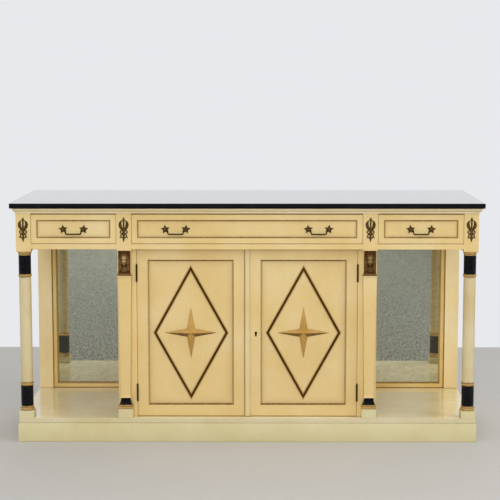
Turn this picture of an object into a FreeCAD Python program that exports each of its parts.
import FreeCAD, Part
import math
import os
from FreeCAD import Vector

# A painted sideboard in the Empire manner: a stone top over three frieze drawers, a two-door cupboard
# between two open mirrored niches, turned columns at the front corners and pilasters beside the doors.
# Millimetres. X runs along the front, Y from front to back, Z up from the floor.

# Whole piece
top_width = 1750.0
top_depth = 608.0
overall_height = 900.0
top_thickness = 19.0
top_edge_chamfer = 1.5
top_overhang = 20.0
back_overhang = 14.0
overrun = 1.0

# Storeys, from the floor up
plinth_height = 72.0
base_board_thickness = 19.0
frieze_board_thickness = 20.0
drawer_opening_height = 113.0

# Bays along the front
post_width = 55.0
post_drop = 9.0
inner_post_drop = 5.0
side_bay_width = 317.0
board_thickness = 20.0
back_thickness = 8.0

# Plinth
plinth_proud = 3.0
plinth_board_thickness = 20.0

# Cornice: a fascia over a cove
cornice_height = 19.5
cornice_projection = 11.0
cornice_fascia = 8.0
cornice_quirk = 1.5
cornice_foot = 1.5
cornice_foot_height = 3.0
cove_bow_share = 0.2

# Columns
column_radius = 22.5
column_tenon_width = 18.0
column_tenon_length = 15.0
column_tenon_gap = 0.2
column_block_height = 27.0
base_ring_height = 16.5
base_ring_radius = 26.5
lower_band_height = 77.0
lower_bead_height = 13.0
upper_bead_height = 11.5
bead_radius = 25.5
upper_band_height = 70.0
band_radius = 23.0
capital_height = 14.5
capital_radius = 26.5
capital_belly_share = 0.6
bead_flat_share = 0.4
flute_count = 16
flute_width_share = 0.72
flute_floor_share = 0.36
flute_depth = 1.5

# Pilasters
pilaster_block_height = 34.0
pilaster_block_depth = 28.5
pilaster_band_height = 15.5
pilaster_band_width = 56.5
pilaster_band_depth = 29.5
pilaster_band_chamfer = 3.5
pilaster_foot_height = 26.0
pilaster_foot_width = 47.0
pilaster_foot_depth = 26.0
pilaster_neck_width = 33.0
pilaster_neck_depth = 20.0
foot_hollow_share = 0.15
pilaster_flare_height = 9.5
pilaster_flare_width = 40.0
pilaster_flare_depth = 23.5
pilaster_low_width = 36.0
pilaster_low_depth = 21.5
pilaster_high_width = 50.0
pilaster_high_depth = 27.0
pilaster_lip_width = 54.0
pilaster_lip_depth = 29.5
pilaster_lip_height = 5.0
pilaster_backing_depth = 15.0

# Bronze head mounts on the pilasters
head_mount_height = 94.0
head_mount_width = 44.0
head_mount_depth = 9.0
head_mount_foot_width = 51.5
head_mount_foot_depth = 13.0
head_mount_foot_height = 4.5
head_mount_flare_height = 8.0
head_half_width = 12.0
head_half_height = 17.0
head_relief = 11.0
head_drop = 38.0
head_sides = 14
nose_half_width = 2.6
nose_proud = 3.6
hair_half_width = 17.5
hair_half_height = 24.0
hair_relief = 6.5
hair_rise = 7.0
lappet_radius = 6.0
lappet_relief = 4.5
lappet_spread = 13.0
lappet_foot = 10.0
lappet_sides = 8
lappet_plaits = 4
plait_neck_share = 0.8
relief_root = 2.0

# Bronze mounts on the frieze posts
frieze_mount_height = 90.0
frieze_mount_width = 37.0
frieze_mount_thickness = 3.0
frieze_mount_drop = 15.0
scroll_radius = 7.8
scroll_hole_radius = 2.4
low_scroll_radius = 6.2
scroll_sides = 8
leaf_steps = 3

# Cupboard
cupboard_setback = 30.0
face_thickness = 20.0
face_stile_width = 70.5
shelf_thickness = 18.0
shelf_height = 300.0
shelf_housing = 6.0
shelf_setback = 22.0

# Doors
door_side_gap = 1.5
door_end_gap = 2.0
door_rail_width = 45.0
door_panel_thickness = 8.0
door_panel_sunk = 6.0
door_panel_tongue = 8.0
door_splay = 4.0
meeting_gap = 2.0
meeting_strip_width = 18.0
meeting_strip_proud = 3.0
meeting_strip_round = 2.5

# Lozenge moulding and star on each door panel
lozenge_side_margin = 17.0
lozenge_end_margin = 20.5
lozenge_bar_width = 8.0
lozenge_bar_height = 4.0
lozenge_bar_bevel = 2.0
star_side_gap = 42.5
star_waist_share = 0.156
star_height = 10.0
star_edge = 1.5

# Butt hinges
hinge_length = 66.0
hinge_end_distance = 90.0
hinge_leaf_depth = 16.0
hinge_leaf_thickness = 1.4
hinge_leaf_gap = 0.3
knuckle_radius = 3.2
knuckle_gap = 0.3
knuckle_count = 3
hinge_pin_radius = 1.6
hinge_pin_gap = 0.05
hinge_pin_proud = 1.5
round_sides = 8

# Lock on the right door and its keeper on the left door
lock_case_width = 60.0
lock_case_height = 50.0
lock_case_depth = 12.0
lock_case_inset = 1.0
lock_bolt_height = 10.0
lock_bolt_thickness = 6.0
lock_bolt_length = 28.0
lock_bolt_gap = 0.2
lock_bolt_throw = 9.0
keyhole_radius = 4.0
keyhole_slot_width = 4.0
keyhole_drop = 12.0
keyhole_pocket = 8.0
keeper_width = 14.0
keeper_height = 30.0
keeper_gap = 0.5
keeper_inset = 2.0

# Barrel bolt on the left door
bolt_plate_width = 24.0
bolt_plate_height = 64.0
bolt_plate_thickness = 2.0
bolt_plate_drop = 28.0
bolt_rod_radius = 3.5
bolt_rod_length = 80.0
bolt_rod_gap = 0.2
bolt_rod_rest = 1.0
bolt_throw = 12.0
bolt_strap_height = 10.0
bolt_strap_wall = 3.0
bolt_knob_radius = 3.0
bolt_knob_length = 12.0
bolt_hole_gap = 0.8
bolt_hole_spare = 2.0

# Drawers
drawer_gap = 1.2
drawer_front_thickness = 20.0
drawer_end_room = 96.0
drawer_side_height = 94.0
drawer_side_thickness = 12.0
drawer_back_thickness = 12.0
drawer_bottom_thickness = 6.0
drawer_bottom_lift = 10.0
drawer_groove = 5.0
drawer_running_gap = 0.3
drawer_field_margin = 21.5
drawer_field_sunk = 3.0
drawer_field_splay = 3.0
dovetail_count = 3
dovetail_lap = 7.0
dovetail_wide_share = 0.37
dovetail_narrow_share = 0.27
guide_width = 12.0
guide_height = 22.0

# Bail pulls with star rosettes
pull_pitch = 76.0
pull_rise = -2.0
centre_pull_distance = 164.0
rosette_radius = 17.5
rosette_waist_share = 0.48
rosette_edge = 1.2
rosette_height = 3.2
rosette_points = 5
pull_post_radius = 4.5
pull_pivot_out = 10.5
bail_wire_radius = 2.3
bail_pin_gap = 0.05
bail_pin_end_gap = 0.3
bail_drop = 17.5
bail_bar_half = 27.7
bail_neck_half = 29.5
bail_bend_radius = 4.0
bail_bend_steps = 3
bail_sides = 8
ball_share = 0.5

# Mirrors behind the niches
mirror_setback = 9.0
mirror_frame_width = 22.0
mirror_frame_depth = 20.0
mirror_splay = 6.0
mirror_glass_thickness = 4.0
mirror_glass_rebate = 6.0
mirror_backboard_thickness = 8.0

# Planes and levels that several pieces share
case_half = top_width / 2 - top_overhang
front_y = top_overhang - top_depth / 2
back_y = top_depth / 2 - back_overhang
shelf_z = plinth_height + base_board_thickness
carcass_z = overall_height - top_thickness
drawer_head_z = carcass_z - frieze_board_thickness
drawer_foot_z = drawer_head_z - drawer_opening_height
frieze_z = drawer_foot_z - frieze_board_thickness
post_foot_z = frieze_z - post_drop
inner_post_foot_z = frieze_z - inner_post_drop
bay_outer_x = case_half - post_width
bay_inner_x = bay_outer_x - side_bay_width
centre_half = bay_inner_x - post_width
end_inner_x = case_half - board_thickness
corner_back_y = front_y + post_width
rear_post_y = back_y - post_width
face_y = front_y + cupboard_setback
face_back_y = face_y + face_thickness
cupboard_inner_x = bay_inner_x - board_thickness

# Column levels
column_x = case_half - post_width / 2
column_y = front_y + post_width / 2
column_foot_z = shelf_z + column_block_height
lower_band_z = column_foot_z + base_ring_height
lower_bead_z = lower_band_z + lower_band_height
shaft_foot_z = lower_bead_z + lower_bead_height
capital_z = post_foot_z - capital_height
upper_band_z = capital_z - upper_band_height
shaft_head_z = upper_band_z - upper_bead_height
column_bore = column_tenon_width + 2 * column_tenon_gap

# Pilaster levels
pilaster_x = centre_half + post_width / 2
pilaster_band_z = shelf_z + pilaster_block_height
pilaster_foot_z = pilaster_band_z + pilaster_band_height
pilaster_flare_z = pilaster_foot_z + pilaster_foot_height
pilaster_shaft_z = pilaster_flare_z + pilaster_flare_height
head_mount_z = inner_post_foot_z - head_mount_height
pilaster_lip_z = head_mount_z - pilaster_lip_height

# Door levels
door_opening_half = bay_inner_x - face_stile_width
door_outer_x = door_opening_half - door_side_gap
door_inner_x = (meeting_strip_width + meeting_gap) / 2
door_foot_z = shelf_z + door_end_gap
door_head_z = frieze_z - door_end_gap
field_x = (door_inner_x + door_rail_width, door_outer_x - door_rail_width)
field_z = (door_foot_z + door_rail_width, door_head_z - door_rail_width)
field_centre_x = sum(field_x) / 2
field_centre_z = sum(field_z) / 2
lozenge_half_x = (field_x[1] - field_x[0]) / 2 - lozenge_side_margin
lozenge_half_z = (field_z[1] - field_z[0]) / 2 - lozenge_end_margin
star_reach = lozenge_half_x - star_side_gap
star_waist = star_reach * star_waist_share
panel_y = face_y + door_panel_sunk
lock_z = (door_foot_z + door_head_z) / 2
lock_stile_x = door_inner_x + door_rail_width / 2
strip_edge_x = meeting_gap - door_inner_x
hinge_x = door_opening_half - door_side_gap / 2
hinge_y = face_y - knuckle_radius - knuckle_gap
bolt_y = face_back_y + bolt_plate_thickness + bolt_strap_wall / 2 + bolt_rod_radius

# Drawer and pull levels
drawer_end_y = back_y - back_thickness - drawer_end_room
centre_pull_offset = centre_half - centre_pull_distance
pull_z = (drawer_foot_z + drawer_head_z) / 2 + pull_rise
pull_face_y = front_y + drawer_field_sunk
pull_pivot_y = pull_face_y - pull_pivot_out


def box(x_range, y_range, z_range):
    corner = Vector(x_range[0], y_range[0], z_range[0])
    return Part.makeBox(x_range[1] - x_range[0], y_range[1] - y_range[0], z_range[1] - z_range[0], corner)


def prism(points, sweep):
    return Part.Face(Part.makePolygon(points + points[:1])).extrude(sweep)


def line(start, end):
    return Part.LineSegment(start, end).toShape()


def arc(start, middle, end):
    return Part.Arc(start, middle, end).toShape()


def between(start, end, share):
    return start + (end - start) * share


def mirrored(shape):
    return shape.mirror(Vector(0, 0, 0), Vector(1, 0, 0))


def pair(shape):
    return Part.makeCompound([shape, mirrored(shape)])


def widened(span, amount):
    return (span[0] - amount, span[1] + amount)


def upright_corners(x_range, z_range, y):
    lower = [Vector(x, y, z_range[0]) for x in x_range]
    upper = [Vector(x, y, z_range[1]) for x in reversed(x_range)]
    return lower + upper


def upright_rectangle(x_range, z_range, y):
    corners = upright_corners(x_range, z_range, y)
    return Part.makePolygon(corners + corners[:1])


def splayed_recess(x_range, z_range, y_front, y_back, splay):
    mouth = upright_rectangle(widened(x_range, splay), widened(z_range, splay), y_front)
    floor = upright_rectangle(x_range, z_range, y_back)
    return Part.makeLoft([mouth, floor], True, True)


def ring_of_points(centre, across, up, sides):
    # One level of a faceted turning, with a corner on the first direction.
    turns = [2 * math.pi * side / sides for side in range(sides)]
    return [centre + across * math.cos(turn) + up * math.sin(turn) for turn in turns]


def faceted_stack(rings):
    # A closed solid with flat facets from level to level of like-numbered points.
    faces = [Part.Face(Part.makePolygon(ring + ring[:1])) for ring in (rings[0], rings[-1])]
    for lower, upper in zip(rings, rings[1:]):
        for index in range(len(lower)):
            following = (index + 1) % len(lower)
            first = [lower[index], lower[following], upper[following], lower[index]]
            second = [lower[index], upper[following], upper[index], lower[index]]
            faces += [Part.Face(Part.makePolygon(first)), Part.Face(Part.makePolygon(second))]
    solid = Part.Solid(Part.makeShell(faces))
    return solid if solid.Volume > 0 else Part.Solid(solid.Shells[0].reversed())


def small_round(radius, foot, along):
    across = Vector(0, 0, 1) if along.z == 0 else Vector(1, 0, 0)
    up = along.cross(across).normalize()
    ring = ring_of_points(foot, across * radius, up * radius, round_sides)
    return prism(ring, along)


def small_bore(radius, foot, along):
    # The flats, and not the corners, stand at the radius, so that a round pin turns in it.
    return small_round(radius / math.cos(math.pi / round_sides), foot, along)


# Top, cornice and plinth

def stone_top():
    slab = box((-top_width / 2, top_width / 2), (-top_depth / 2, top_depth / 2), (carcass_z, overall_height))
    return slab.makeChamfer(top_edge_chamfer, slab.Edges)


def cornice_face(place):
    foot_z = carcass_z - cornice_height
    cove_foot = place(cornice_foot, foot_z + cornice_foot_height)
    cove_head = place(cornice_projection - cornice_quirk, carcass_z - cornice_fascia)
    hollow = place(cornice_foot, carcass_z - cornice_fascia)
    cove_middle = between(between(cove_foot, cove_head, 1 / 2), hollow, 2 * cove_bow_share)
    back_foot = place(0, foot_z)
    back_head = place(0, carcass_z)
    lip_foot = place(cornice_foot, foot_z)
    fascia_foot = place(cornice_projection, carcass_z - cornice_fascia)
    fascia_head = place(cornice_projection, carcass_z)
    edges = [
        line(back_foot, lip_foot),
        line(lip_foot, cove_foot),
        arc(cove_foot, cove_middle, cove_head),
        line(cove_head, fascia_foot),
        line(fascia_foot, fascia_head),
        line(fascia_head, back_head),
        line(back_head, back_foot),
    ]
    return Part.Face(Part.Wire(edges))


def mitre_wedge(third_x, third_y):
    reach = cornice_projection + overrun
    foot_z = carcass_z - cornice_height - overrun
    corner = Vector(case_half, front_y, foot_z)
    tip = Vector(case_half + reach, front_y - reach, foot_z)
    third = Vector(case_half + third_x * reach, front_y - third_y * reach, foot_z)
    return prism([corner, tip, third], Vector(0, 0, cornice_height + 2 * overrun))


def cornice():
    reach = case_half + cornice_projection
    front = cornice_face(lambda out, z: Vector(-reach, front_y - out, z)).extrude(Vector(2 * reach, 0, 0))
    front = front.cut([mitre_wedge(1, 0), mirrored(mitre_wedge(1, 0))])
    start_y = front_y - cornice_projection
    end_face = cornice_face(lambda out, z: Vector(case_half + out, start_y, z))
    end = end_face.extrude(Vector(0, back_y - start_y, 0)).cut(mitre_wedge(0, 1))
    return Part.makeCompound([front, end, mirrored(end)])


def plinth_boards():
    outer_x = case_half + plinth_proud
    inner_x = outer_x - plinth_board_thickness
    outer_y = front_y - plinth_proud
    inner_y = outer_y + plinth_board_thickness
    rise = Vector(0, 0, plinth_height)
    front_plan = [(-outer_x, outer_y), (outer_x, outer_y), (inner_x, inner_y), (-inner_x, inner_y)]
    end_plan = [(outer_x, outer_y), (outer_x, back_y), (inner_x, back_y), (inner_x, inner_y)]
    front = prism([Vector(x, y, 0) for x, y in front_plan], rise)
    end = prism([Vector(x, y, 0) for x, y in end_plan], rise)
    back = box((-inner_x, inner_x), (back_y - plinth_board_thickness, back_y), (0, plinth_height))
    return Part.makeCompound([front, end, mirrored(end), back])


def base_board():
    return box((-case_half, case_half), (front_y, back_y), (plinth_height, shelf_z))


# Frieze

def frieze_board(z_low, z_high):
    z_cut = widened((z_low, z_high), overrun)
    corner_notch = box((bay_outer_x, case_half), (front_y - overrun, corner_back_y), z_cut)
    inner_notch = box((centre_half, bay_inner_x), (front_y - overrun, face_y), z_cut)
    rear_notch = box((bay_outer_x, case_half), (rear_post_y, back_y + overrun), z_cut)
    board = box((-end_inner_x, end_inner_x), (front_y, back_y), (z_low, z_high))
    return board.cut([pair(corner_notch), pair(inner_notch), pair(rear_notch)])


def sub_top():
    return frieze_board(drawer_head_z, carcass_z)


def dust_board():
    bolt_hole = small_bore(
        bolt_rod_radius + bolt_hole_gap,
        Vector(-lock_stile_x, bolt_y, frieze_z - overrun),
        Vector(0, 0, bolt_throw + bolt_hole_spare + overrun),
    )
    return frieze_board(frieze_z, drawer_foot_z).cut(bolt_hole)


def frieze_posts():
    corner = box((bay_outer_x, case_half), (front_y, corner_back_y), (post_foot_z, carcass_z))
    socket = column_square(column_bore, post_foot_z - overrun, post_foot_z + column_tenon_length)
    inner = box((centre_half, bay_inner_x), (front_y, face_y), (inner_post_foot_z, carcass_z))
    corner = corner.cut(socket)
    return Part.makeCompound([corner, mirrored(corner), inner, mirrored(inner)])


def rear_posts():
    return pair(box((bay_outer_x, case_half), (rear_post_y, back_y), (shelf_z, carcass_z)))


def frieze_ends():
    return pair(box((end_inner_x, case_half), (corner_back_y, rear_post_y), (frieze_z, carcass_z)))


def frieze_back():
    return box((-bay_outer_x, bay_outer_x), (back_y - back_thickness, back_y), (drawer_foot_z, drawer_head_z))


def drawer_dividers():
    y_range = (face_y, back_y - back_thickness)
    return pair(box((cupboard_inner_x, bay_inner_x), y_range, (drawer_foot_z, drawer_head_z)))


def drawer_guides():
    z_range = (drawer_foot_z, drawer_foot_z + guide_height)
    outer = box((bay_outer_x, bay_outer_x + guide_width), (corner_back_y, rear_post_y), z_range)
    centre = box((centre_half, centre_half + guide_width), (face_y, back_y - back_thickness), z_range)
    return Part.makeCompound([outer, mirrored(outer), centre, mirrored(centre)])


def frieze_mount():
    head_z = drawer_head_z - frieze_mount_drop
    half = frieze_mount_width / 2

    def at(across_share, down_share):
        return Vector(half * across_share, front_y, head_z - frieze_mount_height * down_share)

    thick = Vector(0, -frieze_mount_thickness, 0)
    upper_stem_shares = [(0, 0), (0.13, 0.01), (0.21, 0.06), (0.17, 0.14), (0.19, 0.44)]
    lower_stem_shares = [(0.43, 0.53), (0.3, 0.67), (0.24, 0.84), (0, 1)]
    stem_shares = upper_stem_shares + lower_stem_shares
    right_side = [at(across, down) for across, down in stem_shares]
    left_side = [at(-across, down) for across, down in stem_shares[-2:0:-1]]
    stem = prism(right_side + left_side, thick)
    leaf_tip = at(0.42, 0.12)
    leaf_root = at(0.15, 0.52)
    outer_edge = arc(leaf_tip, at(1, 0.29), leaf_root).discretize(leaf_steps + 1)
    inner_edge = arc(leaf_root, at(0.5, 0.3), leaf_tip).discretize(leaf_steps + 1)
    leaf = prism(outer_edge[:-1] + inner_edge[:-1], thick)
    barb = prism([at(0.3, 0.72), at(0.82, 0.86), at(0.2, 0.84)], thick)

    def disc(radius, centre):
        return prism(ring_of_points(centre, Vector(radius, 0, 0), Vector(0, 0, radius), scroll_sides), thick)

    side = leaf.fuse([barb, disc(scroll_radius, at(0.37, 0.595)), disc(low_scroll_radius, at(0.34, 0.76))])
    hole = disc(scroll_hole_radius, at(0.37, 0.595))
    return stem.fuse([side, mirrored(side)]).cut([hole, mirrored(hole)]).removeSplitter()


def frieze_mounts():
    mount = frieze_mount()
    places = [sign * x for sign in (-1, 1) for x in (column_x, pilaster_x)]
    return Part.makeCompound([mount.translated(Vector(x, 0, 0)) for x in places])


# Columns

def column_cylinder(radius, z_low, z_high):
    return Part.makeCylinder(radius, z_high - z_low, Vector(column_x, column_y, z_low))


def column_square(width, z_low, z_high):
    x_range = widened((column_x, column_x), width / 2)
    return box(x_range, widened((column_y, column_y), width / 2), (z_low, z_high))


def column():
    shaft = column_cylinder(column_radius, shaft_foot_z, shaft_head_z)
    tenon = column_square(
        column_tenon_width,
        column_foot_z - column_tenon_length,
        post_foot_z + column_tenon_length,
    )
    return shaft.fuse(tenon)


def turned_ring(outline):
    # The outline runs up the outside as radius and level. A square bore takes the column's tenon.
    foot_z = outline[0][1]
    head_z = outline[-1][1]
    points = [Vector(column_x, column_y, foot_z)]
    points += [Vector(column_x + radius, column_y, z) for radius, z in outline]
    points.append(Vector(column_x, column_y, head_z))
    turning = Part.Face(Part.makePolygon(points + points[:1]))
    disc = turning.revolve(Vector(column_x, column_y, 0), Vector(0, 0, 1), 360)
    return disc.cut(column_square(column_bore, foot_z - overrun, head_z + overrun))


def column_ring(z_low, z_high, edge_radius, belly_radius):
    shoulder = (z_high - z_low) * (1 - bead_flat_share) / 2
    outline = [(edge_radius, z_low), (belly_radius, z_low + shoulder), (belly_radius, z_high - shoulder)]
    return turned_ring(outline + [(edge_radius, z_high)])


def column_capital():
    belly_z = capital_z + capital_height * capital_belly_share
    return turned_ring([(column_radius, capital_z), (capital_radius, belly_z), (capital_radius, post_foot_z)])


def fluted_band(z_low, z_high):
    pitch = 2 * math.pi / flute_count
    half_width = pitch * flute_width_share / 2
    half_floor = pitch * flute_floor_share / 2
    floor_radius = band_radius - flute_depth
    corners = [(-half_width, band_radius), (-half_floor, floor_radius)]
    corners += [(half_floor, floor_radius), (half_width, band_radius)]
    points = []
    for flute in range(flute_count):
        for offset, radius in corners:
            angle = (flute + 1 / 2) * pitch + offset
            spoke = Vector(math.cos(angle), math.sin(angle), 0) * radius
            points.append(Vector(column_x, column_y, z_low) + spoke)
    band = prism(points, Vector(0, 0, z_high - z_low))
    return band.cut(column_square(column_bore, z_low - overrun, z_high + overrun))


def pilaster_foot():
    half_low = pilaster_foot_width / 2
    half_high = pilaster_neck_width / 2
    z_range = (pilaster_foot_z, pilaster_flare_z)
    hollow_z = sum(z_range) / 2

    def hollow(low, high):
        return high + (low - high) * foot_hollow_share

    def front_point(offset, z):
        return Vector(pilaster_x + offset, face_y, z)

    def side_point(depth, z):
        return Vector(pilaster_x - half_low, face_y - depth, z)

    right = [front_point(half_low, z_range[0]), front_point(hollow(half_low, half_high), hollow_z)]
    right.append(front_point(half_high, z_range[1]))
    left = [front_point(-half_low, z_range[0]), front_point(-hollow(half_low, half_high), hollow_z)]
    left.append(front_point(-half_high, z_range[1]))
    front_edges = [line(left[0], right[0]), arc(*right), line(right[2], left[2]), arc(*left[::-1])]
    front_view = Part.Face(Part.Wire(front_edges)).extrude(Vector(0, -pilaster_foot_depth, 0))
    nose = [
        side_point(pilaster_foot_depth, z_range[0]),
        side_point(hollow(pilaster_foot_depth, pilaster_neck_depth), hollow_z),
        side_point(pilaster_neck_depth, z_range[1]),
    ]
    side_edges = [
        line(side_point(0, z_range[0]), nose[0]),
        arc(*nose),
        line(nose[2], side_point(0, z_range[1])),
        line(side_point(0, z_range[1]), side_point(0, z_range[0])),
    ]
    side_view = Part.Face(Part.Wire(side_edges)).extrude(Vector(pilaster_foot_width, 0, 0))
    return front_view.common(side_view)


def pilaster_band():
    x_range = widened((pilaster_x, pilaster_x), pilaster_band_width / 2)
    band = box(x_range, (face_y - pilaster_band_depth, face_y), (pilaster_band_z, pilaster_foot_z))
    front_edges = [edge for edge in band.Edges if edge.BoundBox.YMax < face_y]
    return band.makeChamfer(pilaster_band_chamfer, front_edges)


def black_bands():
    lower = fluted_band(lower_band_z, lower_bead_z)
    upper = fluted_band(upper_band_z, capital_z)
    foot = pilaster_foot()
    return Part.makeCompound([pair(lower), pair(upper), pair(foot)])


def gilt_rings():
    base_ring = column_ring(column_foot_z, lower_band_z, band_radius, base_ring_radius)
    lower_bead = column_ring(lower_bead_z, shaft_foot_z, column_radius, bead_radius)
    upper_bead = column_ring(shaft_head_z, upper_band_z, column_radius, bead_radius)
    pieces = [base_ring, lower_bead, upper_bead, column_capital(), pilaster_band()]
    return Part.makeCompound([pair(piece) for piece in pieces])


def base_blocks():
    corner = box((bay_outer_x, case_half), (front_y, corner_back_y), (shelf_z, column_foot_z))
    socket = column_square(column_bore, column_foot_z - column_tenon_length, column_foot_z + overrun)
    x_range = (centre_half, bay_inner_x)
    inner = box(x_range, (face_y - pilaster_block_depth, face_y), (shelf_z, pilaster_band_z))
    return Part.makeCompound([pair(corner.cut(socket)), pair(inner)])


# Pilasters and their head mounts

def pilaster_block(width, depth, z_low, z_high):
    return box(widened((pilaster_x, pilaster_x), width / 2), (face_y - depth, face_y), (z_low, z_high))


def level_rectangle(width, depth, z, back):
    x_range = widened((pilaster_x, pilaster_x), width / 2)
    corners = [
        Vector(x_range[0], back, z),
        Vector(x_range[1], back, z),
        Vector(x_range[1], back - depth, z),
        Vector(x_range[0], back - depth, z),
    ]
    return Part.makePolygon(corners + corners[:1])


def pilaster():
    flare_foot = level_rectangle(pilaster_flare_width, pilaster_flare_depth, pilaster_flare_z, face_y)
    shaft_foot = level_rectangle(pilaster_low_width, pilaster_low_depth, pilaster_shaft_z, face_y)
    shaft_head = level_rectangle(pilaster_high_width, pilaster_high_depth, pilaster_lip_z, face_y)
    flare = Part.makeLoft([flare_foot, shaft_foot], True, True)
    shaft = Part.makeLoft([shaft_foot, shaft_head], True, True)
    lip = pilaster_block(pilaster_lip_width, pilaster_lip_depth, pilaster_lip_z, head_mount_z)
    backing = pilaster_block(head_mount_width, pilaster_backing_depth, head_mount_z, inner_post_foot_z)
    return flare.fuse([shaft, lip, backing])


def relief_ring(centre, half_width, relief, sides):
    # A level section that swells forward from the block and has its root in it.
    ring = ring_of_points(centre, Vector(half_width, 0, 0), Vector(0, -relief, 0), sides)
    return [Vector(point.x, min(point.y, centre.y + relief_root), point.z) for point in ring]


def relief_form(centre, half_width, half_height, relief, level_shares, sides):
    rings = []
    for height_share, width_share, relief_share in level_shares:
        level = centre + Vector(0, 0, half_height * height_share)
        rings.append(relief_ring(level, half_width * width_share, relief * relief_share, sides))
    return faceted_stack(rings)


def head_form(centre):
    level_shares = [
        (-1, 0.3, 0.5), (-0.86, 0.5, 0.78), (-0.55, 0.74, 0.86), (-0.2, 0.93, 0.9),
        (0.15, 1, 0.9), (0.5, 0.95, 0.92), (0.82, 0.7, 0.7), (1, 0.3, 0.3),
    ]
    return relief_form(centre, head_half_width, head_half_height, head_relief, level_shares, head_sides)


def nose_form(centre):
    bridge_share = 0.22
    tip_share = -0.2
    wing_share = -0.3
    sunk = centre + Vector(0, -head_relief / 2, 0)
    bridge = sunk + Vector(0, -head_relief / 2, head_half_height * bridge_share)
    tip = centre + Vector(0, -head_relief - nose_proud + relief_root, head_half_height * tip_share)
    wing_z = head_half_height * wing_share
    wings = [sunk + Vector(sign * nose_half_width, -head_relief / 4, wing_z) for sign in (-1, 1)]
    corners = [(bridge, wings[0], tip), (bridge, tip, wings[1]), (tip, wings[0], wings[1])]
    corners += [(sunk, wings[0], bridge), (sunk, bridge, wings[1]), (sunk, wings[1], wings[0])]
    faces = [Part.Face(Part.makePolygon(list(three) + [three[0]])) for three in corners]
    solid = Part.Solid(Part.makeShell(faces))
    return solid if solid.Volume > 0 else Part.Solid(solid.Shells[0].reversed())


def hair_form(centre):
    level_shares = [(-0.5, 0.86, 0.8), (0, 1, 1), (0.45, 0.96, 1), (0.8, 0.76, 0.9), (1, 0.4, 0.5)]
    return relief_form(centre, hair_half_width, hair_half_height, hair_relief, level_shares, head_sides)


def hair_lappet(x, y, z_low, z_high):
    # A plaited fall of hair: full at each plait and drawn in between them.
    pitch = (z_high - z_low) / lappet_plaits
    rings = []
    for half in range(2 * lappet_plaits + 1):
        share = 1 if half % 2 else plait_neck_share
        level = Vector(x, y, z_low + half * pitch / 2)
        rings.append(relief_ring(level, lappet_radius * share, lappet_relief * share, lappet_sides))
    return faceted_stack(rings)


def head_mount():
    back = face_y - pilaster_backing_depth
    flare_z = head_mount_z + head_mount_foot_height
    body_z = flare_z + head_mount_flare_height
    front = back - head_mount_depth
    foot = level_rectangle(head_mount_foot_width, head_mount_foot_depth, flare_z, back)
    waist = level_rectangle(head_mount_width, head_mount_depth, body_z, back)
    flare = Part.makeLoft([foot, waist], True, True)
    base = Part.Face(foot).extrude(Vector(0, 0, -head_mount_foot_height))
    body = Part.Face(waist).extrude(Vector(0, 0, inner_post_foot_z - body_z))
    centre = Vector(pilaster_x, front, inner_post_foot_z - head_drop)
    hair = hair_form(centre + Vector(0, 0, hair_rise))
    lappets = [
        hair_lappet(pilaster_x + sign * lappet_spread, front, head_mount_z + lappet_foot, centre.z)
        for sign in (-1, 1)
    ]
    return base.fuse([flare, body, head_form(centre), nose_form(centre), hair] + lappets)


# Cupboard

def cupboard_shelf():
    half = cupboard_inner_x + shelf_housing
    y_range = (face_back_y + shelf_setback, back_y - back_thickness)
    z_low = shelf_z + shelf_height
    return box((-half, half), y_range, (z_low, z_low + shelf_thickness))


def cupboard_sides():
    side = box((cupboard_inner_x, bay_inner_x), (face_back_y, back_y), (shelf_z, frieze_z))
    return pair(side.cut(cupboard_shelf()))


def cupboard_back():
    return box((-cupboard_inner_x, cupboard_inner_x), (back_y - back_thickness, back_y), (shelf_z, frieze_z))


def face_stiles():
    stile = box((door_opening_half, bay_inner_x), (face_y, face_back_y), (shelf_z, frieze_z))
    return pair(stile.cut([case_leaf_plate(z) for z in hinge_levels()]))


# Doors, each made as the right one

def door_panel():
    y_range = (panel_y, panel_y + door_panel_thickness)
    return box(widened(field_x, door_panel_tongue), y_range, widened(field_z, door_panel_tongue))


def keyhole(y_range):
    depth = Vector(0, y_range[1] - y_range[0], 0)
    ward = Part.makeCylinder(
        keyhole_radius, depth.y, Vector(lock_stile_x, y_range[0], lock_z), Vector(0, 1, 0)
    )
    slot_x = widened((lock_stile_x, lock_stile_x), keyhole_slot_width / 2)
    return ward.fuse(box(slot_x, y_range, (lock_z - keyhole_drop, lock_z)))


def door_frame(has_lock):
    y_range = (face_y, face_back_y)
    full_z = (door_foot_z, door_head_z)
    inner_stile = box((door_inner_x, field_x[0]), y_range, full_z)
    outer_stile = box((field_x[1], door_outer_x), y_range, full_z)
    low_rail = box(field_x, y_range, (door_foot_z, field_z[0]))
    high_rail = box(field_x, y_range, (field_z[1], door_head_z))
    recess = splayed_recess(field_x, field_z, face_y, panel_y, door_splay)
    cuts = [recess, door_panel()] + [door_leaf_plate(z) for z in hinge_levels()]
    if has_lock:
        cuts.append(keyhole(widened(y_range, overrun)))
    return Part.makeCompound([piece.cut(cuts) for piece in (inner_stile, outer_stile, low_rail, high_rail)])


def lozenge_outline(inset, y):
    reach = lozenge_half_x * lozenge_half_z / math.hypot(lozenge_half_x, lozenge_half_z)
    across = Vector(lozenge_half_x, 0, 0) * (1 - inset / reach)
    up = Vector(0, 0, lozenge_half_z) * (1 - inset / reach)
    points = ring_of_points(Vector(field_centre_x, y, field_centre_z), across, up, 4)
    return Part.makePolygon(points + points[:1])


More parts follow.
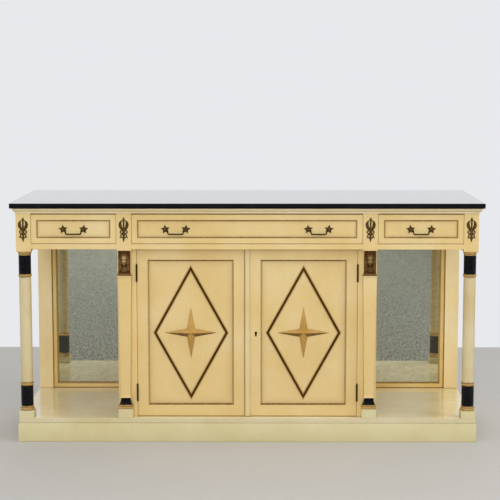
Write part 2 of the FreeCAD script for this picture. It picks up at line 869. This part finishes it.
def door_lozenge():
    front_y_level = panel_y - lozenge_bar_height
    outer = [lozenge_outline(0, panel_y), lozenge_outline(lozenge_bar_bevel, front_y_level)]
    inner = [
        lozenge_outline(lozenge_bar_width, panel_y),
        lozenge_outline(lozenge_bar_width - lozenge_bar_bevel, front_y_level),
    ]
    ring = Part.makeLoft(outer, True, True).cut(Part.makeLoft(inner, True, True))
    bars = []
    for x_range in ((field_x[0], field_centre_x), (field_centre_x, field_x[1])):
        for z_range in ((field_z[0], field_centre_z), (field_centre_z, field_z[1])):
            bars.append(ring.common(box(x_range, (front_y_level - overrun, panel_y), z_range)))
    return Part.makeCompound(bars)


def faceted_star(rim, height, edge):
    # Rim points lie on the seat, and the facets rise from the top of a thin edge to one peak.
    lift = Vector(0, -edge, 0)
    centre = sum(rim, Vector(0, 0, 0)) * (1 / len(rim))
    peak = centre + Vector(0, -height, 0)
    faces = [Part.Face(Part.makePolygon(rim + rim[:1]))]
    for start, end in zip(rim, rim[1:] + rim[:1]):
        faces.append(Part.Face(Part.makePolygon([start, end, end + lift, start + lift, start])))
        faces.append(Part.Face(Part.makePolygon([start + lift, end + lift, peak, start + lift])))
    return Part.Solid(Part.makeShell(faces))


def door_star():
    rim = []
    centre = Vector(field_centre_x, panel_y, field_centre_z)
    for across, up in ((1, 0), (0, 1), (-1, 0), (0, -1)):
        rim.append(centre + Vector(across, 0, up) * star_reach)
        rim.append(centre + Vector(across - up, 0, up + across) * star_waist)
    return faceted_star(rim, star_height, star_edge)


def meeting_strip():
    y_range = (face_y - meeting_strip_proud, face_back_y)
    strip = box((strip_edge_x, door_inner_x), y_range, (door_foot_z, door_head_z))
    front_edges = [
        edge for edge in strip.Edges
        if edge.BoundBox.YMax < face_y and edge.BoundBox.ZLength > door_rail_width
    ]
    return strip.makeFillet(meeting_strip_round, front_edges)


# Hinges

def hinge_levels():
    return (door_foot_z + hinge_end_distance, door_head_z - hinge_end_distance)


def leaf_plate(x_range, z):
    return box(x_range, (hinge_y, face_y + hinge_leaf_depth), widened((z, z), hinge_length / 2))


def case_leaf_plate(z):
    inner = hinge_x + hinge_leaf_gap / 2
    return leaf_plate((inner, inner + hinge_leaf_thickness), z)


def door_leaf_plate(z):
    outer = hinge_x - hinge_leaf_gap / 2
    return leaf_plate((outer - hinge_leaf_thickness, outer), z)


def hinge_round(form, radius, z_low, z_high):
    return form(radius, Vector(hinge_x, hinge_y, z_low), Vector(0, 0, z_high - z_low))


def knuckle_room(z_low, z_high):
    half = knuckle_radius + knuckle_gap
    return box(widened((hinge_x, hinge_x), half), widened((hinge_y, hinge_y), half), (z_low, z_high))


def knuckle_spans(z):
    pitch = hinge_length / knuckle_count
    foot = z - hinge_length / 2
    return [(foot + index * pitch, foot + (index + 1) * pitch) for index in range(knuckle_count)]


def hinge_leaf(plate, own_spans, other_spans):
    knuckles = [hinge_round(small_round, knuckle_radius, *span) for span in own_spans]
    room = [knuckle_room(*widened(span, knuckle_gap)) for span in other_spans]
    return plate.fuse(knuckles).cut(room)


def case_leaf(z):
    spans = knuckle_spans(z)
    leaf = hinge_leaf(case_leaf_plate(z), spans[0::2], spans[1::2])
    pin_span = widened((z, z), hinge_length / 2 + hinge_pin_proud)
    pin = hinge_round(small_round, hinge_pin_radius, *pin_span)
    return leaf.fuse(pin)


def door_leaf(z):
    spans = knuckle_spans(z)
    leaf = hinge_leaf(door_leaf_plate(z), spans[1::2], spans[0::2])
    bore_span = widened((z, z), hinge_length / 2 + overrun)
    return leaf.cut(hinge_round(small_bore, hinge_pin_radius + hinge_pin_gap, *bore_span))


def case_hinge_leaves():
    return Part.makeCompound([pair(case_leaf(z)) for z in hinge_levels()])


def door_hinge_leaves():
    return Part.makeCompound([door_leaf(z) for z in hinge_levels()])


# Lock and barrel bolt

def lock_bolt_box(gap, x_range):
    y_middle = face_back_y + lock_case_depth / 2
    y_range = widened((y_middle, y_middle), lock_bolt_thickness / 2 + gap)
    return box(x_range, y_range, widened((lock_z, lock_z), lock_bolt_height / 2 + gap))


def lock_case():
    case_x = strip_edge_x + lock_case_inset
    y_range = (face_back_y, face_back_y + lock_case_depth)
    case = box((case_x, case_x + lock_case_width), y_range, widened((lock_z, lock_z), lock_case_height / 2))
    channel = lock_bolt_box(lock_bolt_gap, (case_x - overrun, case_x + lock_bolt_length + lock_bolt_gap))
    pocket = keyhole((face_back_y - overrun, face_back_y + keyhole_pocket))
    return case.cut([channel, pocket])


def lock_bolt():
    case_x = strip_edge_x + lock_case_inset
    return lock_bolt_box(0, (case_x, case_x + lock_bolt_length))


def lock_keeper():
    edge_x = -door_inner_x - keeper_inset
    y_range = (face_back_y, face_back_y + lock_case_depth)
    block = box((edge_x - keeper_width, edge_x), y_range, widened((lock_z, lock_z), keeper_height / 2))
    bolt_end = strip_edge_x + lock_case_inset - lock_bolt_throw
    return block.cut(lock_bolt_box(keeper_gap, (bolt_end - keeper_gap, edge_x + overrun)))


def bolt_barrel():
    plate_z = (door_head_z - bolt_plate_drop - bolt_plate_height, door_head_z - bolt_plate_drop)
    plate_x = widened((-lock_stile_x, -lock_stile_x), bolt_plate_width / 2)
    plate = box(plate_x, (face_back_y, face_back_y + bolt_plate_thickness), plate_z)
    strap_half = bolt_rod_radius + bolt_strap_wall
    strap_x = widened((-lock_stile_x, -lock_stile_x), strap_half)
    strap_y = (face_back_y + bolt_plate_thickness, bolt_y + strap_half)
    low_strap = box(strap_x, strap_y, (plate_z[0], plate_z[0] + bolt_strap_height))
    high_strap = box(strap_x, strap_y, (plate_z[1] - bolt_strap_height, plate_z[1]))
    bore = small_bore(
        bolt_rod_radius + bolt_rod_gap,
        Vector(-lock_stile_x, bolt_y, plate_z[0] - overrun),
        Vector(0, 0, bolt_plate_height + 2 * overrun),
    )
    return plate.fuse([low_strap, high_strap]).cut(bore)


def bolt_rod():
    head_z = door_head_z - bolt_rod_rest
    foot = Vector(-lock_stile_x, bolt_y, head_z - bolt_rod_length)
    rod = small_round(bolt_rod_radius, foot, Vector(0, 0, bolt_rod_length))
    knob_z = door_head_z - bolt_plate_drop - bolt_plate_height / 2 - bolt_throw / 2
    knob_length = bolt_rod_radius + bolt_knob_length
    knob_root = Vector(-lock_stile_x, bolt_y, knob_z)
    knob = small_round(bolt_knob_radius, knob_root, Vector(0, knob_length, 0))
    return rod.fuse(knob)


# Drawers

def drawer_front_board(bay):
    x_range = widened(bay, -drawer_gap)
    z_range = widened((drawer_foot_z, drawer_head_z), -drawer_gap)
    board = box(x_range, (front_y, front_y + drawer_front_thickness), z_range)
    sunk_x = widened(x_range, -drawer_field_margin - drawer_field_splay)
    sunk_z = widened(z_range, -drawer_field_margin - drawer_field_splay)
    return board.cut(splayed_recess(sunk_x, sunk_z, front_y, front_y + drawer_field_sunk, drawer_field_splay))


def drawer_side(x_range):
    z_low = drawer_foot_z + drawer_running_gap
    shoulder_y = front_y + drawer_front_thickness
    board = box(x_range, (shoulder_y, drawer_end_y), (z_low, z_low + drawer_side_height))
    pitch = drawer_side_height / dovetail_count
    tip_y = front_y + dovetail_lap
    tails = []
    for tail in range(dovetail_count):
        middle = z_low + (tail + 1 / 2) * pitch
        wide = pitch * dovetail_wide_share
        narrow = pitch * dovetail_narrow_share
        points = [
            Vector(x_range[0], shoulder_y, middle - narrow),
            Vector(x_range[0], tip_y, middle - wide),
            Vector(x_range[0], tip_y, middle + wide),
            Vector(x_range[0], shoulder_y, middle + narrow),
        ]
        tails.append(prism(points, Vector(x_range[1] - x_range[0], 0, 0)))
    return board.fuse(tails)


def drawer_pieces(bay):
    outer = widened(bay, -drawer_gap)
    inner = widened(outer, -drawer_side_thickness)
    bottom_z = drawer_foot_z + drawer_running_gap + drawer_bottom_lift
    floor_z = bottom_z + drawer_bottom_thickness
    head_z = drawer_foot_z + drawer_running_gap + drawer_side_height
    bottom = box(
        widened(inner, drawer_groove),
        (front_y + drawer_front_thickness - drawer_groove, drawer_end_y),
        (bottom_z, floor_z),
    )
    sides = [drawer_side((outer[0], inner[0])), drawer_side((inner[1], outer[1]))]
    back = box(inner, (drawer_end_y - drawer_back_thickness, drawer_end_y), (floor_z, head_z))
    front = drawer_front_board(bay).cut(sides + [bottom])
    return front, Part.makeCompound([side.cut(bottom) for side in sides] + [back, bottom])


# Bail pulls

def rosette(x, inner_sign):
    centre = Vector(x, pull_face_y, pull_z)
    rim = []
    for index in range(2 * rosette_points):
        angle = math.pi / 2 + math.pi * index / rosette_points
        radius = rosette_radius * (rosette_waist_share if index % 2 else 1)
        rim.append(centre + Vector(radius * math.cos(angle), 0, radius * math.sin(angle)))
    star = faceted_star(rim, rosette_height, rosette_edge)
    pivot = Vector(x, pull_pivot_y, pull_z)
    slant = math.sqrt(1 / 2)
    stations = [(1, centre.y), (1, pivot.y), (slant, pivot.y - pull_post_radius * slant)]
    stations.append((ball_share * slant, pivot.y - pull_post_radius))
    rings = []
    for share, y in stations:
        reach = pull_post_radius * share
        level = Vector(x, y, pull_z)
        rings.append(ring_of_points(level, Vector(reach, 0, 0), Vector(0, 0, reach), round_sides))
    bore_reach = Vector(inner_sign * (pull_post_radius + overrun), 0, 0)
    return star.fuse(faceted_stack(rings)).cut(small_bore(bail_wire_radius + bail_pin_gap, pivot, bore_reach))


def rosettes(pull_places):
    half = pull_pitch / 2
    return Part.makeCompound([
        piece for x in pull_places for piece in (rosette(x - half, 1), rosette(x + half, -1))
    ])


def rounded_points(points, radius, steps):
    rounded = [points[0]]
    for before, corner, after in zip(points, points[1:], points[2:]):
        incoming = (corner - before).normalize()
        outgoing = (after - corner).normalize()
        turn = incoming.getAngle(outgoing)
        reach = radius * math.tan(turn / 2)
        bisector = (outgoing - incoming).normalize()
        middle = corner + bisector * (radius / math.cos(turn / 2) - radius)
        rounded += arc(corner - incoming * reach, middle, corner + outgoing * reach).discretize(steps + 1)
    return rounded + [points[-1]]


def bent_wire(points, radius, sides):
    # The path lies upright in one plane, and each bend is mitred.
    level = Vector(0, 1, 0)
    rings = []
    for index, point in enumerate(points):
        before = points[index - 1] if index else point * 2 - points[1]
        after = points[index + 1] if index + 1 < len(points) else point * 2 - before
        incoming = (point - before).normalize()
        outgoing = (after - point).normalize()
        half_turn = incoming.getAngle(outgoing) / 2
        across = (incoming + outgoing).normalize().cross(level) * (radius / math.cos(half_turn))
        rings.append(ring_of_points(point, across, level * radius, sides))
    return faceted_stack(rings)


def bail(x):
    half = pull_pitch / 2 - bail_pin_end_gap
    low_z = pull_z - bail_drop
    plan = [
        (-half, pull_z),
        (-bail_neck_half, pull_z),
        (-bail_bar_half, low_z),
        (bail_bar_half, low_z),
        (bail_neck_half, pull_z),
        (half, pull_z),
    ]
    points = [Vector(x + across, pull_pivot_y, z) for across, z in plan]
    return bent_wire(rounded_points(points, bail_bend_radius, bail_bend_steps), bail_wire_radius, bail_sides)


# Mirrors

def mirror_frame():
    x_range = (bay_inner_x, bay_outer_x)
    z_range = (shelf_z, frieze_z)
    y_front = rear_post_y + mirror_setback
    y_back = y_front + mirror_frame_depth
    glass_y = y_back - mirror_glass_thickness
    depth = Vector(0, mirror_frame_depth, 0)
    inner_x = widened(x_range, -mirror_frame_width)
    inner_z = widened(z_range, -mirror_frame_width)
    outer = upright_corners(x_range, z_range, y_front)
    inner = upright_corners(inner_x, inner_z, y_front)
    splay = splayed_recess(inner_x, inner_z, y_front, glass_y, mirror_splay)
    rebate = mirror_glass()
    members = []
    for side in range(len(outer)):
        following = (side + 1) % len(outer)
        member = prism([outer[side], outer[following], inner[following], inner[side]], depth)
        members.append(member.cut([splay, rebate]))
    return Part.makeCompound(members)


def mirror_glass():
    y_back = rear_post_y + mirror_setback + mirror_frame_depth
    margin = mirror_glass_rebate - mirror_frame_width
    x_range = widened((bay_inner_x, bay_outer_x), margin)
    return box(x_range, (y_back - mirror_glass_thickness, y_back), widened((shelf_z, frieze_z), margin))


def mirror_backboard():
    y_front = rear_post_y + mirror_setback + mirror_frame_depth
    y_range = (y_front, y_front + mirror_backboard_thickness)
    return box((bay_inner_x, bay_outer_x), y_range, (shelf_z, frieze_z))


def case_nodes():
    return {
        "stone_top": stone_top(),
        "cornice": cornice(),
        "sub_top": sub_top(),
        "dust_board": dust_board(),
        "frieze_posts": frieze_posts(),
        "frieze_ends": frieze_ends(),
        "frieze_back": frieze_back(),
        "frieze_mounts": frieze_mounts(),
        "drawer_dividers": drawer_dividers(),
        "drawer_guides": drawer_guides(),
        "rear_posts": rear_posts(),
        "base_board": base_board(),
        "plinth_boards": plinth_boards(),
        "right_column": column(),
        "left_column": mirrored(column()),
        "black_bands": black_bands(),
        "gilt_rings": gilt_rings(),
        "base_blocks": base_blocks(),
        "right_pilaster": pilaster(),
        "left_pilaster": mirrored(pilaster()),
        "right_head_mount": head_mount(),
        "left_head_mount": mirrored(head_mount()),
        "mirror_frames": pair(mirror_frame()),
        "right_mirror_glass": mirror_glass(),
        "left_mirror_glass": mirrored(mirror_glass()),
        "mirror_backboards": pair(mirror_backboard()),
        "cupboard_sides": cupboard_sides(),
        "cupboard_back": cupboard_back(),
        "cupboard_shelf": cupboard_shelf(),
        "face_stiles": face_stiles(),
        "case_hinge_leaves": case_hinge_leaves(),
    }


def door_nodes():
    return {
        "right_door_frame": door_frame(True),
        "left_door_frame": mirrored(door_frame(False)),
        "right_door_panel": door_panel(),
        "left_door_panel": mirrored(door_panel()),
        "right_door_lozenge": door_lozenge(),
        "left_door_lozenge": mirrored(door_lozenge()),
        "right_door_star": door_star(),
        "left_door_star": mirrored(door_star()),
        "right_hinge_leaves": door_hinge_leaves(),
        "left_hinge_leaves": mirrored(door_hinge_leaves()),
        "meeting_strip": meeting_strip(),
        "lock_case": lock_case(),
        "lock_bolt": lock_bolt(),
        "lock_keeper": lock_keeper(),
        "bolt_barrel": bolt_barrel(),
        "bolt_rod": bolt_rod(),
    }


def drawer_nodes():
    side_middle = (bay_inner_x + bay_outer_x) / 2
    bays = {
        "left": ((-bay_outer_x, -bay_inner_x), [-side_middle]),
        "centre": ((-centre_half, centre_half), [-centre_pull_offset, centre_pull_offset]),
        "right": ((bay_inner_x, bay_outer_x), [side_middle]),
    }
    nodes = {}
    for name, (bay, pull_places) in bays.items():
        front, carcass = drawer_pieces(bay)
        nodes[name + "_drawer_front"] = front
        nodes[name + "_drawer_box"] = carcass
        nodes[name + "_drawer_rosettes"] = rosettes(pull_places)
    nodes["left_bail"] = bail(-side_middle)
    nodes["centre_left_bail"] = bail(-centre_pull_offset)
    nodes["centre_right_bail"] = bail(centre_pull_offset)
    nodes["right_bail"] = bail(side_middle)
    return nodes


def main():
    os.makedirs("parts", exist_ok=True)
    for nodes in (case_nodes(), door_nodes(), drawer_nodes()):
        for name, shape in nodes.items():
            shape.exportStep("parts/" + name + ".step")


main()
